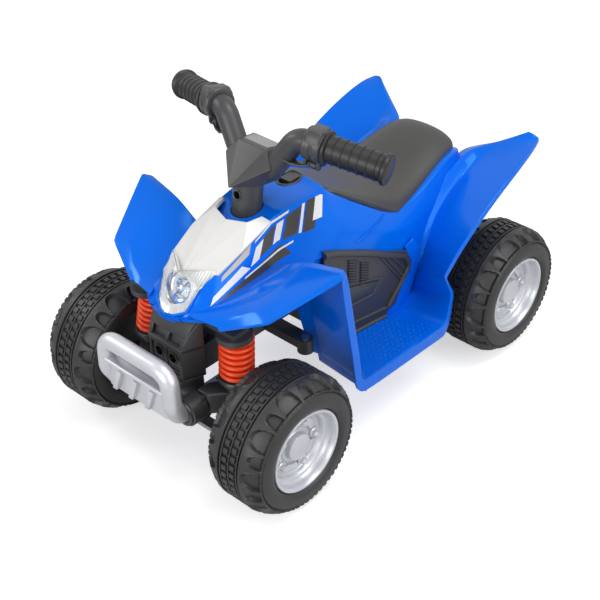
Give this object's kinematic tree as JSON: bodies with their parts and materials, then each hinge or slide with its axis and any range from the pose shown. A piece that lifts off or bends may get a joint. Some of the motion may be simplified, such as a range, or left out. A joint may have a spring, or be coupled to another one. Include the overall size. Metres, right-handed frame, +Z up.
{
  "type": "ride-on quad bike",
  "caption": "Battery ride-on quad bike for small children: blue body with fenders and foot wells, black seat, wide hard wheels, steering handlebar, sprung-look front end and tubular bumper.",
  "frame": {"origin": "on the floor below the middle of the overall box", "axes": "+Y to the rear, +X to the rider's left, +Z up"},
  "size_m": [0.404, 0.652, 0.4429],
  "materials": {
    "blue_plastic": "gloss",
    "black_plastic": "satin",
    "wheel_plastic": "matte",
    "silver_plastic": "satin",
    "white_plastic": "gloss",
    "clear_plastic": "gloss",
    "bulb_glass": "gloss",
    "spring_steel": "gloss",
    "grip_rubber": "matte",
    "steel": "satin",
    "battery_case": "matte"
  },
  "bodies": {
    "root": {"body_cowl": "blue_plastic", "front_fender_left": "blue_plastic", "front_fender_right": "blue_plastic", "rear_fender_left": "blue_plastic", "rear_fender_right": "blue_plastic", "foot_well_left": "blue_plastic", "foot_well_right": "blue_plastic", "front_beam": "black_plastic", "grille_block": "black_plastic", "chassis_frame": "black_plastic", "seat": "black_plastic", "gearbox": "black_plastic", "switch_housing": "black_plastic", "charging_socket": "black_plastic", "column_bushes": "black_plastic", "strut_left": "black_plastic", "strut_right": "black_plastic", "engine_panel_left": "black_plastic", "engine_panel_right": "black_plastic", "bumper": "silver_plastic", "headlamp_reflector": "silver_plastic", "nose_plate": "white_plastic", "headlamp_lens": "clear_plastic", "headlamp_bulb": "bulb_glass", "spring_left": "spring_steel", "spring_right": "spring_steel", "rear_axle": "steel", "rear_axle_nuts": "steel", "boss_screws": "steel", "motor": "steel", "battery": "battery_case"},
    "steering": {"steering_column": "steel", "handlebar_stem": "black_plastic", "stem_bolt": "steel", "handlebar": "black_plastic", "handlebar_pod": "black_plastic", "dash_plate": "silver_plastic", "lever_collar_left": "black_plastic", "lever_collar_right": "black_plastic", "grip_left": "grip_rubber", "grip_right": "grip_rubber"},
    "rocker": {"rocker": "black_plastic"},
    "tie_link": {"tie_rod": "steel"},
    "lever_left": {"lever_left": "black_plastic"},
    "knuckle_left": {"knuckle_left": "steel", "kingpin_clip_left": "steel", "front_axle_nut_left": "steel"},
    "wheel_front_left": {"front_wheel_left": "wheel_plastic", "front_disc_left": "silver_plastic"},
    "wheel_rear_left": {"rear_wheel_left": "wheel_plastic", "rear_disc_left": "silver_plastic", "drive_dog": "black_plastic"},
    "lever_right": {"lever_right": "black_plastic"},
    "knuckle_right": {"knuckle_right": "steel", "kingpin_clip_right": "steel", "front_axle_nut_right": "steel"},
    "wheel_front_right": {"front_wheel_right": "wheel_plastic", "front_disc_right": "silver_plastic"},
    "wheel_rear_right": {"rear_wheel_right": "wheel_plastic", "rear_disc_right": "silver_plastic"}
  },
  "joints": [
    {"name": "steer", "type": "hinge", "parent": "root", "child": "steering", "pos_m": [0, -0.114, 0.322], "axis": [0, 0.1392, 0.9903], "range_deg": [-14, 14]},
    {"name": "tie_slide", "type": "slide", "parent": "root", "child": "tie_link", "axis": [1, 0, 0], "range_m": [-0.0075, 0.0075]},
    {"name": "switch", "type": "hinge", "parent": "root", "child": "rocker", "pos_m": [0, -0.033, 0.324], "axis": [1, 0, 0], "range_deg": [-8, 8]},
    {"name": "lever_left_pull", "type": "hinge", "parent": "steering", "child": "lever_left", "pos_m": [0.08284, -0.08156, 0.396], "axis": [0.9461, 0.2935, -0.1368], "range_deg": [0, 15], "stiffness_Nm_per_rad": 0.05, "springref_deg": -11.46},
    {"name": "kingpin_left", "type": "hinge", "parent": "root", "child": "knuckle_left", "pos_m": [0.079, -0.222, 0.096], "axis": [0, 0, 1], "range_deg": [-14.2, 14.2]},
    {"name": "front_wheel_left_spin", "type": "hinge", "parent": "knuckle_left", "child": "wheel_front_left", "pos_m": [0.155, -0.222, 0.096], "axis": [1, 0, 0], "continuous": true},
    {"name": "rear_wheel_left_spin", "type": "hinge", "parent": "root", "child": "wheel_rear_left", "pos_m": [0.155, 0.23, 0.096], "axis": [1, 0, 0], "continuous": true},
    {"name": "lever_right_pull", "type": "hinge", "parent": "steering", "child": "lever_right", "pos_m": [-0.08284, -0.08156, 0.396], "axis": [0.9461, -0.2935, 0.1368], "range_deg": [0, 15], "stiffness_Nm_per_rad": 0.05, "springref_deg": -11.46},
    {"name": "kingpin_right", "type": "hinge", "parent": "root", "child": "knuckle_right", "pos_m": [-0.079, -0.222, 0.096], "axis": [0, 0, 1], "range_deg": [-14.2, 14.2]},
    {"name": "front_wheel_right_spin", "type": "hinge", "parent": "knuckle_right", "child": "wheel_front_right", "pos_m": [-0.155, -0.222, 0.096], "axis": [1, 0, 0], "continuous": true},
    {"name": "rear_wheel_right_spin", "type": "hinge", "parent": "root", "child": "wheel_rear_right", "pos_m": [-0.155, 0.23, 0.096], "axis": [1, 0, 0], "continuous": true}
  ],
  "couplings": [
    {"joint": "tie_slide", "follows": "steer", "m_per_rad": 0.03},
    {"joint": "kingpin_left", "follows": "steer", "ratio": 1},
    {"joint": "kingpin_right", "follows": "steer", "ratio": 1}
  ]
}
